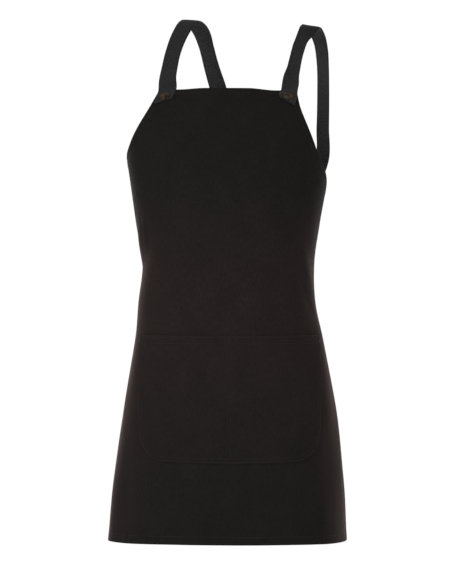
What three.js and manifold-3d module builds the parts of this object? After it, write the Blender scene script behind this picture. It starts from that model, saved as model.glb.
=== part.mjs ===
// Cross back apron: a canvas panel wrapped round a torso, with a patch pocket, two webbing straps that
// cross behind, and a brass stud at each strap end. Millimetres, +Z up, -Y the wearer's front and +X
// the right of the front view. The origin lies between the straps, at the height where their
// undersides sit on the shoulders, above the middle line of the panel.
import * as THREE from "three";
import { mergeVertices } from "three/addons/utils/BufferGeometryUtils.js";
import Module from "manifold-3d";

const wasm = await Module();
wasm.setup();

// Driving dimensions
const GAP = 0.3; // air between pieces that touch
const FACET_EASE = 0.5; // more air where a flat facet lies on a curved one
const PANEL_DROP = 842; // bib top down to the hem
const PANEL_WIDTH = 700; // flat width below the armholes
const BIB_WIDTH = 258; // flat width of the bib's top edge
const BIB_BELOW_SHOULDER = 127; // shoulder level down to the bib's top edge
const SIDE_SPREAD = 234; // middle line out to the side, at the hem
const FRONT_DEPTH = 145; // side line out to the front, at the hem
const BACK_DEPTH = 100; // side line back to the torso's back
const CANVAS_THICKNESS = 1.2;
const CORNER_CURL = 20; // the bib's corners are drawn back this far by the straps
const LEFT_DROOP = 1; // and the left one hangs this far below the middle of the top edge
const RIGHT_DROOP = 3.5; // and the right one this far
const CURL_START = 0.3; // both begin here, as a share of the bib's half width
const CURL_FULL = 0.72; // and are whole from here outwards
const CURL_END = 0.06; // level where both have died out, as a share of PANEL_DROP
const POCKET_WIDTH = 388; // flat width of the pocket's mouth
const POCKET_HEIGHT = 226;
const POCKET_TAPER = 40; // how much narrower the pocket is at its lower edge
const POCKET_CORNER = 52; // radius of its lower corners
const POCKET_BOW = 8; // how far the middle of its lower edge hangs below the ends
const POCKET_BELOW_BIB = 467; // bib top down to the pocket's mouth
const STRAP_WIDTH = 34.5;
const STRAP_THICKNESS = 1.8;
const STRAP_SPREAD = 222; // between the straps, where they lie on the shoulders
const STRAP_REACH = 120; // side line back to where the straps lie on the back
const STRAP_TAIL = 9; // stud to the strap's cut end
const END_SLANT = 22; // degrees off square of the cut at its front end, lower on the outer side
const STUD_FROM_TOP = 15.5; // stud to the bib's top edge
const STUD_CAP_RADIUS = 9;
const STUD_CAP_HEIGHT = 2.6;
const STUD_CAP_RIM = 1;
const STUD_POST_RADIUS = 2.2;
const STUD_PLATE_RADIUS = 6;
const STUD_PLATE_THICKNESS = 1;
const FRONT_STUD_INSET = 20; // front stud to the bib's side edge
const BACK_STUD_INSET = 22; // back stud to the panel's side edge and to its upper corner
const LEFT_LEAN = 6; // degrees that the left strap's front end leans to +X, going up
const RIGHT_LEAN = 2; // and that the right one's does
const BACK_LEAN = 44; // degrees that its back end leans towards the back's middle, going up

// Levels of the panel, from the bib's top to the hem. at is a share of PANEL_DROP, left and right are
// shares of SIDE_SPREAD, front of FRONT_DEPTH and back of BACK_DEPTH. flare is how far the cut edge has
// gone from the bib's half width to the skirt's, and middle how far the cloth is drawn sideways, as a
// share of half of PANEL_WIDTH.
const LEVELS = [
  { at: 0, left: 0.98, right: 0.93, front: 0.6, back: 0.95, flare: 0, middle: -0.016 },
  { at: 0.045, left: 0.93, right: 0.88, front: 0.71, back: 0.97, flare: 0.07, middle: -0.033 },
  { at: 0.085, left: 0.88, right: 0.82, front: 0.78, back: 0.99, flare: 0.172, middle: -0.049 },
  { at: 0.12, left: 0.855, right: 0.775, front: 0.825, back: 1, flare: 0.286, middle: -0.066 },
  { at: 0.15, left: 0.85, right: 0.77, front: 0.85, back: 1, flare: 0.41, middle: -0.09 },
  { at: 0.206, left: 0.823, right: 0.757, front: 0.865, back: 1, flare: 0.628, middle: -0.08 },
  { at: 0.298, left: 0.777, right: 0.702, front: 0.82, back: 0.95, flare: 0.9, middle: -0.04 },
  { at: 0.385, left: 0.726, right: 0.657, front: 0.765, back: 0.88, flare: 1, middle: -0.01 },
  { at: 0.473, left: 0.756, right: 0.662, front: 0.775, back: 0.9, flare: 1, middle: 0 },
  { at: 0.555, left: 0.78, right: 0.726, front: 0.81, back: 1, flare: 1, middle: 0 },
  { at: 0.707, left: 0.874, right: 0.831, front: 0.89, back: 1.1, flare: 1, middle: 0 },
  { at: 0.86, left: 0.951, right: 0.893, front: 0.955, back: 1.15, flare: 1, middle: 0 },
  { at: 1, left: 1, right: 0.915, front: 1, back: 1.2, flare: 1, middle: 0 },
];
const ARMHOLE_END = 0.385; // level of the panel's upper side corners, as a share of PANEL_DROP
const SQUARENESS = 2.2; // power of the level's oval; 2 is an ellipse

// Folds in the panel. Each runs from one place to another: across is a share of half of PANEL_WIDTH,
// down of PANEL_DROP, width and depth are shares of CORNER_CURL, and a dent has a negative depth.
const FOLDS = [
  { across: 0.42, down: 0.335, toAcross: 0.56, toDown: 0.5, width: 0.75, depth: 0.2 },
  { across: 0.36, down: 0.34, toAcross: 0.5, toDown: 0.5, width: 0.9, depth: -0.14 },
  { across: 0.5, down: 0.215, toAcross: 0.62, toDown: 0.2, width: 0.4, depth: -0.12 },
  { across: -0.5, down: 0.29, toAcross: -0.62, toDown: 0.39, width: 0.8, depth: 0.18 },
  { across: -0.42, down: 0.31, toAcross: -0.56, toDown: 0.42, width: 0.9, depth: -0.12 },
  { across: -0.6, down: 0.7, toAcross: -0.66, toDown: 1.05, width: 2.2, depth: -0.2 },
  { across: 0.58, down: 0.72, toAcross: 0.66, toDown: 1.05, width: 2.2, depth: -0.2 },
];

// Routes of the straps between their two ends, front to back. across is a share of STRAP_SPREAD, deep
// of STRAP_REACH and down of BIB_BELOW_SHOULDER. The strap's face looks sideways degrees from the
// front, round by +X, and upward degrees from level. over lifts the strap that lies outside at the
// crossing, in strap thicknesses and gaps.
const ROUTES = {
  left: [
    { across: -0.537, deep: -0.346, down: 0.842, sideways: -24, upward: 42, over: 0 },
    { across: -0.526, deep: -0.229, down: 0.678, sideways: -28, upward: 49, over: 0 },
    { across: -0.497, deep: -0.122, down: 0.424, sideways: -25, upward: 48, over: 0 },
    { across: -0.441, deep: 0.036, down: 0.14, sideways: -12, upward: 52, over: 0 },
    { across: -0.368, deep: 0.289, down: -0.073, sideways: 10, upward: 80, over: 0 },
    { across: -0.289, deep: 0.569, down: 0.063, sideways: 167, upward: 46, over: 0 },
    { across: -0.25, deep: 0.732, down: 0.271, sideways: 150, upward: 41, over: 0 },
    { across: -0.203, deep: 0.866, down: 0.597, sideways: 152, upward: 16, over: 0 },
    { across: -0.146, deep: 0.962, down: 0.939, sideways: 163, upward: 17, over: 0 },
    { across: -0.049, deep: 1.016, down: 1.59, sideways: 167, upward: 4, over: 0 },
    { across: 0.07, deep: 1, down: 2.3, sideways: 170, upward: -4, over: 0 },
    { across: 0.19, deep: 0.89, down: 2.87, sideways: 172, upward: -12, over: 0 },
    { across: 0.275, deep: 0.755, down: 3.25, sideways: 165, upward: -12, over: 0 },
  ],
  right: [
    { across: 0.501, deep: -0.38, down: 0.891, sideways: 33, upward: 30, over: 0 },
    { across: 0.519, deep: -0.29, down: 0.726, sideways: 51, upward: 9, over: 0 },
    { across: 0.564, deep: -0.225, down: 0.385, sideways: 57, upward: 11, over: 0 },
    { across: 0.622, deep: -0.146, down: 0.134, sideways: 70, upward: 36, over: 0 },
    { across: 0.667, deep: 0.057, down: 0.04, sideways: 63, upward: 81, over: 0 },
    { across: 0.712, deep: 0.265, down: 0.132, sideways: 138, upward: 57, over: 0 },
    { across: 0.745, deep: 0.391, down: 0.324, sideways: 133, upward: 27, over: 0 },
    { across: 0.759, deep: 0.528, down: 0.606, sideways: 129, upward: 18, over: 0 },
    { across: 0.761, deep: 0.628, down: 0.948, sideways: 131, upward: 7, over: 0 },
    { across: 0.756, deep: 0.708, down: 1.502, sideways: 134, upward: 1, over: 0 },
    { across: 0.744, deep: 0.745, down: 2.017, sideways: 139, upward: 2, over: 0 },
    { across: 0.55, deep: 0.87, down: 2.5, sideways: 157, upward: -4, over: 2 },
    { across: 0.2, deep: 0.905, down: 2.85, sideways: 173, upward: -12, over: 2.5 },
    { across: -0.14, deep: 0.8, down: 3.15, sideways: 188, upward: -12, over: 1 },
    { across: -0.32, deep: 0.715, down: 3.34, sideways: 200, upward: -8, over: 0 },
  ],
};

// Fineness of the faceted solids
const PANEL_COLUMNS = 38;
const PANEL_ROWS = 38;
const ROW_CROWDING = 1.4; // power that crowds the panel's rows towards the bib's top
const POCKET_COLUMNS = 24;
const POCKET_STRAIGHT_ROWS = 8;
const POCKET_CORNER_ROWS = 6;
const STRAP_STEPS = 72;
const ROUND_SIDES = 14;
const OVAL_POINTS = 90;
const DOME_STEPS = 4;
const PROBE = 1; // half of the distance over which slopes are measured
const WELD = 1e-4; // points closer than this are one

// Materials
const canvas = { color: 0x2a2524, roughness: 0.92, metalness: 0 };
const webbing = { color: 0x2f3031, roughness: 0.85, metalness: 0 };
const brass = { color: 0x7a5a3a, roughness: 0.42, metalness: 1 };

// The panel's surface

// One column of LEVELS at any level, as a smooth curve through the rows.
function level(name, at) {
  const last = LEVELS.length - 1;
  const upper = Math.min(Math.max(LEVELS.findIndex((row) => row.at >= at), 1), last);
  const slope = (k) => {
    const before = LEVELS[Math.max(k - 1, 0)];
    const after = LEVELS[Math.min(k + 1, last)];
    return (after[name] - before[name]) / (after.at - before.at);
  };
  const from = LEVELS[upper - 1];
  const to = LEVELS[upper];
  const span = to.at - from.at;
  const t = Math.min(Math.max((at - from.at) / span, 0), 1);
  const rise = t * t * (3 - 2 * t);
  return (
    from[name] * (1 - rise) +
    to[name] * rise +
    span * slope(upper - 1) * t * (1 - t) * (1 - t) -
    span * slope(upper) * t * t * (1 - t)
  );
}

// The oval that the cloth follows at a level, from its front round one side to its back, with the
// distance along it at each point.
const ovals = new Map();
function oval(at, side) {
  const key = `${at.toFixed(6)} ${side}`;
  if (ovals.has(key)) return ovals.get(key);
  const reach = side * SIDE_SPREAD * level(side < 0 ? "left" : "right", at);
  const front = -FRONT_DEPTH * level("front", at);
  const back = BACK_DEPTH * level("back", at);
  const points = [];
  for (let i = 0; i <= OVAL_POINTS; i++) {
    const turn = (Math.PI * i) / OVAL_POINTS;
    const out = Math.pow(Math.abs(Math.sin(turn)), 2 / SQUARENESS);
    const deep = Math.pow(Math.abs(Math.cos(turn)), 2 / SQUARENESS);
    points.push({ x: reach * out, y: (turn < Math.PI / 2 ? front : back) * deep, along: 0 });
    if (i === 0) continue;
    const before = points[i - 1];
    points[i].along = before.along + Math.hypot(points[i].x - before.x, points[i].y - before.y);
  }
  ovals.set(key, points);
  return points;
}

// A place on the oval, a distance along it from the front, positive to the right.
function onOval(distance, at) {
  const side = distance < 0 ? -1 : 1;
  const points = oval(at, side);
  const along = Math.abs(distance);
  const next = Math.min(Math.max(points.findIndex((p) => p.along >= along), 1), points.length - 1);
  const from = points[next - 1];
  const to = points[next];
  const t = (along - from.along) / (to.along - from.along);
  return new THREE.Vector2(from.x + (to.x - from.x) * t, from.y + (to.y - from.y) * t);
}

// Half of the cloth's flat width at a level.
function halfWidth(at) {
  return BIB_WIDTH / 2 + (PANEL_WIDTH / 2 - BIB_WIDTH / 2) * level("flare", at);
}

// How far the folds push the cloth outwards.
function foldHeight(across, at) {
  let height = 0;
  for (const fold of FOLDS) {
    const scale = PANEL_WIDTH / 2;
    const start = new THREE.Vector2(fold.across * scale, fold.down * PANEL_DROP);
    const end = new THREE.Vector2(fold.toAcross * scale, fold.toDown * PANEL_DROP);
    const run = end.clone().sub(start);
    const place = new THREE.Vector2(across, at * PANEL_DROP).sub(start);
    const share = place.dot(run) / run.lengthSq();
    const aside = place.cross(run) / run.length() / (fold.width * CORNER_CURL);
    const ends = Math.max(0, 1 - Math.pow(2 * share - 1, 2));
    if (share > 0 && share < 1) height += fold.depth * CORNER_CURL * ends * Math.exp(-aside * aside);
  }
  return height;
}

// The outer face of the panel: across is the flat distance from the middle line, at the level.
function panelPoint(across, at) {
  const round = across + (level("middle", at) * PANEL_WIDTH) / 2;
  const place = onOval(round, at);
  const run = onOval(round + PROBE, at).sub(onOval(round - PROBE, at)).normalize();
  const raised = foldHeight(across, at);
  const outwards = THREE.MathUtils.smoothstep(Math.abs(across) / (BIB_WIDTH / 2), CURL_START, CURL_FULL);
  const corner = outwards * Math.pow(Math.max(0, 1 - at / CURL_END), 2);
  return new THREE.Vector3(
    place.x + run.y * raised,
    place.y - run.x * raised + CORNER_CURL * corner,
    -BIB_BELOW_SHOULDER - at * PANEL_DROP - (across < 0 ? LEFT_DROOP : RIGHT_DROOP) * corner,
  );
}

// The outward normal of the panel.
function panelNormal(across, at) {
  const step = (2 * PROBE) / PANEL_DROP;
  const sideways = panelPoint(across + PROBE, at).sub(panelPoint(across - PROBE, at));
  const upper = Math.min(Math.max(at - step / 2, 0), 1 - step);
  const lower = upper + step;
  const downwards = panelPoint(across, lower).sub(panelPoint(across, upper));
  return downwards.cross(sideways).normalize();
}

// Closed solids from grids

// A thin wall: place(i, j) gives the point and normal of its outer face, and the wall goes inwards.
function wall(columns, rows, thickness, place) {
  const positions = [];
  const count = (columns + 1) * (rows + 1);
  for (const depth of [0, thickness]) {
    for (let j = 0; j <= rows; j++) {
      for (let i = 0; i <= columns; i++) {
        const { point, normal } = place(i / columns, j / rows);
        positions.push(...point.addScaledVector(normal, -depth).toArray());
      }
    }
  }
  const index = [];
  const at = (i, j) => j * (columns + 1) + i;
  for (let j = 0; j < rows; j++) {
    for (let i = 0; i < columns; i++) {
      const [a, b, c, d] = [at(i, j), at(i + 1, j), at(i + 1, j + 1), at(i, j + 1)];
      index.push(a, d, c, a, c, b);
      index.push(a + count, c + count, d + count, a + count, b + count, c + count);
    }
  }
  const edge = (a, b) => index.push(a, b, b + count, a, b + count, a + count);
  for (let i = 0; i < columns; i++) {
    edge(at(i, 0), at(i + 1, 0));
    edge(at(i + 1, rows), at(i, rows));
  }
  for (let j = 0; j < rows; j++) {
    edge(at(0, j + 1), at(0, j));
    edge(at(columns, j), at(columns, j + 1));
  }
  const geometry = new THREE.BufferGeometry();
  geometry.setAttribute("position", new THREE.Float32BufferAttribute(positions, 3));
  geometry.setIndex(index);
  return geometry;
}

function toSolid(geometry) {
  const plain = geometry.clone();
  plain.deleteAttribute("normal");
  plain.deleteAttribute("uv");
  const merged = mergeVertices(plain, WELD);
  return new wasm.Manifold(
    new wasm.Mesh({
      numProp: 3,
      vertProperties: new Float32Array(merged.attributes.position.array),
      triVerts: new Uint32Array(merged.index.array),
    }),
  );
}

function toGeometry(solid) {
  const mesh = solid.getMesh();
  const geometry = new THREE.BufferGeometry();
  geometry.setAttribute("position", new THREE.Float32BufferAttribute(mesh.vertProperties, 3));
  geometry.setIndex(new THREE.Uint32BufferAttribute(mesh.triVerts, 1));
  geometry.computeVertexNormals();
  return geometry;
}

// Moves a shape made along +Y so that it stands on a point, along a normal.
function standOn(geometry, point, normal) {
  const turn = new THREE.Quaternion().setFromUnitVectors(new THREE.Vector3(0, 1, 0), normal);
  return geometry.applyQuaternion(turn).translate(point.x, point.y, point.z);
}

// Studs: where each goes through strap and panel
const strapLift = GAP + FACET_EASE + STRAP_THICKNESS; // panel's face to the strap's outer face

function frontStudPlace(side) {
  const at = STUD_FROM_TOP / PANEL_DROP;
  return { across: side * (halfWidth(at) - FRONT_STUD_INSET), at };
}

function backStudPlace(side) {
  const at = ARMHOLE_END + BACK_STUD_INSET / PANEL_DROP;
  return { across: side * (halfWidth(at) - BACK_STUD_INSET), at };
}

function stud({ across, at }) {
  const plateTop = -CANVAS_THICKNESS - GAP - FACET_EASE;
  const capBottom = strapLift + GAP + FACET_EASE / 2;
  const dome = [];
  for (let i = 0; i < DOME_STEPS; i++) {
    const turn = (Math.PI / 2) * (i / DOME_STEPS);
    const height = STUD_CAP_RIM + (STUD_CAP_HEIGHT - STUD_CAP_RIM) * Math.sin(turn);
    dome.push(new THREE.Vector2(STUD_CAP_RADIUS * Math.cos(turn), capBottom + height));
  }
  dome.push(new THREE.Vector2(0, capBottom + STUD_CAP_HEIGHT));
  const profile = [
    new THREE.Vector2(0, plateTop - STUD_PLATE_THICKNESS),
    new THREE.Vector2(STUD_PLATE_RADIUS, plateTop - STUD_PLATE_THICKNESS),
    new THREE.Vector2(STUD_PLATE_RADIUS, plateTop),
    new THREE.Vector2(STUD_POST_RADIUS, plateTop),
    new THREE.Vector2(STUD_POST_RADIUS, capBottom),
    new THREE.Vector2(STUD_CAP_RADIUS, capBottom),
    ...dome,
  ];
  const shape = new THREE.LatheGeometry(profile, ROUND_SIDES);
  return toGeometry(toSolid(standOn(shape, panelPoint(across, at), panelNormal(across, at))));
}

// What a stud takes out of strap and panel: a hole for its post, and the dent that its cap presses.
function studHole({ across, at }) {
  const [post, cap] = [STUD_POST_RADIUS + GAP, STUD_CAP_RADIUS + GAP];
  const hole = new THREE.CylinderGeometry(post, post, 4 * strapLift, ROUND_SIDES);
  const dent = new THREE.CylinderGeometry(cap, cap, STUD_CAP_HEIGHT, ROUND_SIDES);
  dent.translate(0, strapLift + STUD_CAP_HEIGHT / 2, 0);
  const [point, normal] = [panelPoint(across, at), panelNormal(across, at)];
  return toSolid(standOn(hole, point, normal)).add(toSolid(standOn(dent, point, normal)));
}

// Straps

// What stays clear round the panel, for a piece that lies on it.
const panelClearance = panelWall(GAP);

function facing(sideways, upward) {
  const turn = THREE.MathUtils.degToRad(sideways);
  const tilt = THREE.MathUtils.degToRad(upward);
  return new THREE.Vector3(
    Math.sin(turn) * Math.cos(tilt),
    -Math.cos(turn) * Math.cos(tilt),
    Math.sin(tilt),
  );
}

// The middle of a strap where it lies on the panel, some way down from a stud, leaning to +X.
function laidOnPanel(stud, lean, down) {
  const turn = THREE.MathUtils.degToRad(lean);
  const across = stud.across + Math.sin(turn) * down;
  const at = Math.max(stud.at + (Math.cos(turn) * down) / PANEL_DROP, 0);
  const normal = panelNormal(across, at);
  const point = panelPoint(across, at).addScaledVector(normal, strapLift - STRAP_THICKNESS / 2);
  return { point, normal };
}

function strap(side) {
  const route = ROUTES[side < 0 ? "left" : "right"];
  const front = frontStudPlace(side);
  const back = backStudPlace(-side);
  const onFront = (down) => laidOnPanel(front, side < 0 ? -LEFT_LEAN : -RIGHT_LEAN, down);
  const onBack = (down) => laidOnPanel(back, side * BACK_LEAN, down);
  const frontEnd = [onFront(STRAP_TAIL), onFront(0), onFront(-STUD_FROM_TOP)];
  const backEnd = [onBack(-STRAP_TAIL), onBack(0), onBack(STRAP_TAIL)];
  const middle = route.map((row) => ({
    point: new THREE.Vector3(
      row.across * STRAP_SPREAD,
      row.deep * STRAP_REACH,
      -row.down * BIB_BELOW_SHOULDER,
    ).addScaledVector(facing(row.sideways, row.upward), row.over * (STRAP_THICKNESS + GAP)),
    normal: facing(row.sideways, row.upward),
  }));
  const stations = [...frontEnd, ...middle, ...backEnd];
  const path = new THREE.CatmullRomCurve3(stations.map((s) => s.point), false, "centripetal");
  const normals = new THREE.CatmullRomCurve3(stations.map((s) => s.normal), false, "centripetal");
  const slant = Math.tan(THREE.MathUtils.degToRad(END_SLANT));
  const rings = [];
  for (let i = 0; i <= STRAP_STEPS; i++) {
    const t = path.getUtoTmapping(i / STRAP_STEPS);
    const centre = path.getPoint(t);
    const forward = path.getTangent(t);
    const sideways = forward.clone().cross(normals.getPoint(t)).normalize();
    const normal = sideways.clone().cross(forward).normalize();
    const fade = Math.max(0, 1 - (path.getLength() * i) / STRAP_STEPS / STRAP_WIDTH);
    const corner = (a, b) =>
      centre
        .clone()
        .addScaledVector(sideways, (a * STRAP_WIDTH) / 2)
        .addScaledVector(forward, (-a * side * slant * fade * STRAP_WIDTH) / 2)
        .addScaledVector(normal, (b * STRAP_THICKNESS) / 2);
    rings.push([corner(-1, 1), corner(1, 1), corner(1, -1), corner(-1, -1)]);
  }
  const positions = rings.flat().flatMap((p) => p.toArray());
  const index = [];
  for (let i = 0; i < STRAP_STEPS; i++) {
    for (let k = 0; k < 4; k++) {
      const [a, b] = [4 * i + k, 4 * i + ((k + 1) % 4)];
      index.push(a, b, b + 4, a, b + 4, a + 4);
    }
  }
  const end = 4 * STRAP_STEPS;
  index.push(0, 2, 1, 0, 3, 2, end, end + 1, end + 2, end, end + 2, end + 3);
  const geometry = new THREE.BufferGeometry();
  geometry.setAttribute("position", new THREE.Float32BufferAttribute(positions, 3));
  geometry.setIndex(index);
  let solid = toSolid(geometry).subtract(panelClearance);
  for (const place of [front, back]) solid = solid.subtract(studHole(place));
  return toGeometry(solid);
}

// Panel and pocket

// The panel as a wall of its own, or grown on every side by a margin.
function panelWall(margin) {
  const share = margin / PANEL_DROP;
  return toSolid(
    wall(PANEL_COLUMNS, PANEL_ROWS, CANVAS_THICKNESS + 2 * margin, (u, v) => {
      const at = Math.pow(v, ROW_CROWDING) * (1 + 2 * share) - share;
      const across = (2 * u - 1) * (halfWidth(at) + margin);
      const normal = panelNormal(across, at);
      return { point: panelPoint(across, at).addScaledVector(normal, margin), normal };
    }),
  );
}

function apronBody() {
  let solid = panelWall(0);
  for (const side of [-1, 1]) {
    solid = solid.subtract(studHole(frontStudPlace(side))).subtract(studHole(backStudPlace(side)));
  }
  return toGeometry(solid);
}

function pocketPanel() {
  const lift = GAP + FACET_EASE + CANVAS_THICKNESS;
  const rows = POCKET_STRAIGHT_ROWS + POCKET_CORNER_ROWS;
  const straight = POCKET_HEIGHT - POCKET_CORNER;
  return wall(POCKET_COLUMNS, rows, CANVAS_THICKNESS, (u, v) => {
    const turn = (Math.PI / 2) * Math.max(0, (v * rows - POCKET_STRAIGHT_ROWS) / POCKET_CORNER_ROWS);
    const down = straight * Math.min(1, (v * rows) / POCKET_STRAIGHT_ROWS) + POCKET_CORNER * Math.sin(turn);
    const taper = (POCKET_TAPER * down) / POCKET_HEIGHT;
    const across = (2 * u - 1) * ((POCKET_WIDTH - taper) / 2 - POCKET_CORNER * (1 - Math.cos(turn)));
    const bow = POCKET_BOW * (down / POCKET_HEIGHT) * Math.sqrt(1 - Math.pow(2 * u - 1, 2));
    const at = (POCKET_BELOW_BIB + down + bow - POCKET_BOW) / PANEL_DROP;
    const normal = panelNormal(across, at);
    return { point: panelPoint(across, at).addScaledVector(normal, lift), normal };
  });
}

// The assembly

const apron = new THREE.Group();
function add(name, geometry, finish) {
  const mesh = new THREE.Mesh(geometry, new THREE.MeshStandardMaterial(finish));
  mesh.name = name;
  apron.add(mesh);
}

add("apron_body", apronBody(), canvas);
add("pocket_panel", pocketPanel(), canvas);
for (const [name, side] of [["left", -1], ["right", 1]]) {
  add(`strap_${name}`, strap(side), webbing);
  add(`front_stud_${name}`, stud(frontStudPlace(side)), brass);
  add(`back_stud_${name}`, stud(backStudPlace(side)), brass);
}

export default apron;
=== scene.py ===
import math

import bpy
import numpy as np
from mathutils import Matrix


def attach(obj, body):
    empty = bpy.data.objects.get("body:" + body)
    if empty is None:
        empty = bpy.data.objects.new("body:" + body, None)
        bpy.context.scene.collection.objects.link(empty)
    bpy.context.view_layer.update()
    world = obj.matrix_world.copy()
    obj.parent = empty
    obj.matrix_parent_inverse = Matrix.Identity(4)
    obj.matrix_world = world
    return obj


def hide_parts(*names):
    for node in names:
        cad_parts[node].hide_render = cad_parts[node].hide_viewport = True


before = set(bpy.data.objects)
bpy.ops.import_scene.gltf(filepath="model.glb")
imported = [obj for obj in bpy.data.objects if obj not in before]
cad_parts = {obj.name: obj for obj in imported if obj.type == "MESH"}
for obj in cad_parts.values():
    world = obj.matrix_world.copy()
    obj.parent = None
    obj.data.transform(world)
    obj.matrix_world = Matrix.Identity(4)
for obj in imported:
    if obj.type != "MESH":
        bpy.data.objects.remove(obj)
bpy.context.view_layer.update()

# Canvas panel: bib and skirt are cut in one piece from heavy cotton canvas. It wraps round the front
# and both sides of the body and hangs from the studs at the bib's two corners. All its edges are
# turned in twice and stitched down, so they are thicker than the cloth between them.
PANEL_DROP = 842  # bib top down to the hem
PANEL_WIDTH = 700  # flat, below the armholes
BIB_WIDTH = 258
BIB_BELOW_SHOULDER = 127
SIDE_SPREAD = 234  # middle to the hem's left side, as worn
FRONT_DEPTH = 145  # middle plane to the hem's front
BACK_DEPTH = 100
CANVAS_THICKNESS = 1.2
CORNER_CURL = 20  # how far the bib's corners are drawn back
CORNER_DROOPS = (1, 3.5)  # left and right
CURL_START = 0.3  # shares of the bib's half width
CURL_FULL = 0.72
CURL_END = 0.06  # share of the drop
SQUARENESS = 2.2  # of the body's oval, where 2 is a true one
OVAL_POINTS = 721
ARMHOLE_END = 0.385  # share of the drop

# Level by level from the bib's top to the hem: down is a share of the drop, left and right of the side
# spread, front and back of their depths, flare of the extra width, and middle of half the flat width.
LEVELS = np.array([
    (0, 0.98, 0.93, 0.6, 0.95, 0, -0.016),
    (0.045, 0.93, 0.88, 0.71, 0.97, 0.07, -0.033),
    (0.085, 0.88, 0.82, 0.78, 0.99, 0.172, -0.049),
    (0.12, 0.855, 0.775, 0.825, 1, 0.286, -0.066),
    (0.15, 0.85, 0.77, 0.85, 1, 0.41, -0.09),
    (0.206, 0.823, 0.757, 0.865, 1, 0.628, -0.08),
    (0.298, 0.777, 0.702, 0.82, 0.95, 0.9, -0.04),
    (0.385, 0.726, 0.657, 0.765, 0.88, 1, -0.01),
    (0.473, 0.756, 0.662, 0.775, 0.9, 1, 0),
    (0.555, 0.78, 0.726, 0.81, 1, 1, 0),
    (0.707, 0.874, 0.831, 0.89, 1.1, 1, 0),
    (0.86, 0.951, 0.893, 0.955, 1.15, 1, 0),
    (1, 1, 0.915, 1, 1.2, 1, 0),
])
LEVEL_NAMES = ("left", "right", "front", "back", "flare", "middle")

# Folds: across and down where each starts and ends, as shares of half the flat width and of the drop,
# then width and height as shares of the corners' curl.
FOLDS = [
    (0.42, 0.335, 0.56, 0.5, 0.75, 0.2),
    (0.36, 0.34, 0.5, 0.5, 0.9, -0.14),
    (0.5, 0.215, 0.62, 0.2, 0.4, -0.12),
    (-0.5, 0.29, -0.62, 0.39, 0.8, 0.18),
    (-0.42, 0.31, -0.56, 0.42, 0.9, -0.12),
    (-0.6, 0.7, -0.66, 1.05, 2.2, -0.2),
    (0.58, 0.72, 0.66, 1.05, 2.2, -0.2),
]
# Fine creases in the same columns. One that runs as a fold above does makes that fold softer.
CREASES = [
    (0.42, 0.335, 0.56, 0.5, 0.75, -0.09),
    (0.36, 0.34, 0.5, 0.5, 0.9, 0.08),
    (0.315, 0.33, 0.585, 0.53, 0.13, 0.04),
    (0.4, 0.225, 0.56, 0.205, 0.22, 0.06),
    (-0.42, 0.31, -0.56, 0.42, 0.9, 0.05),
    (-0.45, 0.26, -0.5, 0.37, 0.25, 0.04),
    (-0.3, 0.03, -0.12, 0.12, 0.7, 0.04),
    (0.3, 0.03, 0.14, 0.12, 0.7, 0.04),
    (-0.3, 0.05, -0.28, 0.2, 0.6, -0.04),
    (0.3, 0.05, 0.27, 0.2, 0.6, -0.04),
    (-0.6, 0.97, -0.62, 1.03, 0.22, 0.05),
    (-0.53, 0.975, -0.54, 1.03, 0.2, -0.05),
    (-0.47, 0.98, -0.47, 1.02, 0.2, 0.03),
]
RIPPLE_SEED = 4
WANDERS = (0.2, 0.6)  # how far a swell may wander from side to side
SWELLS = ((210, 1.1), (150, 0.8), (96, 0.5), (64, 0.28), (41, 0.16))  # length and height of each
FINE_RIPPLE = 0.14
HEM_STEPS = np.array([0, 0.5, 1.2, 2.5, 4.5, 6.8, 7.8, 8.5, 9.2, 9.9, 10.8, 12.5, 15.5, 19.5, 24.5])
LOW_HEM_STEPS = np.array([0, 0.5, 1.2, 3, 7, 11, 13.3, 14.3, 15, 15.7, 16.6, 17.4, 18.6, 22, 27])
SIDE_HEM = (8.5, 10)  # edge to the stitches, and to where the turning ends
LOW_HEM = (15, 17)
HEMS = {"side": SIDE_HEM, "top": SIDE_HEM, "low": LOW_HEM}
HEM_EXTRA = 1.1  # the turnings make the cloth this much thicker
HEM_RIDGE = 0.3
HEM_EASE = 1.5  # the ridge fades over this length on both sides of the turning's end
STITCH_GROOVE = (0.5, 0.8)  # depth and half width
HEM_FOLD = (0.6, 1.3)  # drop of the rounded fold, and its width
HEM_SAG = 2  # how much lower the hem hangs at the sides
SAG_START = 0.9  # share of the drop
SAG_ACROSS = (90, 230)  # from the middle, where it starts and is full
CLOTH_STEP = 4.4  # from row to row of the panel's mesh, between its hems
PANEL_COLUMNS = 166
RIM_BULGE = 0.35  # how far a cut edge is rounded out, as a share of the thickness
INNER_WEAR = 0.6  # the inner face is worn this much less


def level(name, at):
    """One column of LEVELS at any level, as a smooth curve through its rows."""
    rows, values = LEVELS[:, 0], LEVELS[:, 1 + LEVEL_NAMES.index(name)]
    wide = np.concatenate([rows[:1], rows, rows[-1:]])
    tall = np.concatenate([values[:1], values, values[-1:]])
    slopes = (tall[2:] - tall[:-2]) / (wide[2:] - wide[:-2])
    k = np.clip(np.searchsorted(rows, at), 1, len(rows) - 1)
    span = rows[k] - rows[k - 1]
    t = np.clip((at - rows[k - 1]) / span, 0, 1)
    rise = t * t * (3 - 2 * t)
    bend = span * t * (1 - t) * (slopes[k - 1] * (1 - t) - slopes[k] * t)
    return values[k - 1] * (1 - rise) + values[k] * rise + bend


def half_width(at):
    """Half of the cloth's flat width at a level."""
    return BIB_WIDTH / 2 + (PANEL_WIDTH - BIB_WIDTH) / 2 * level("flare", at)


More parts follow.
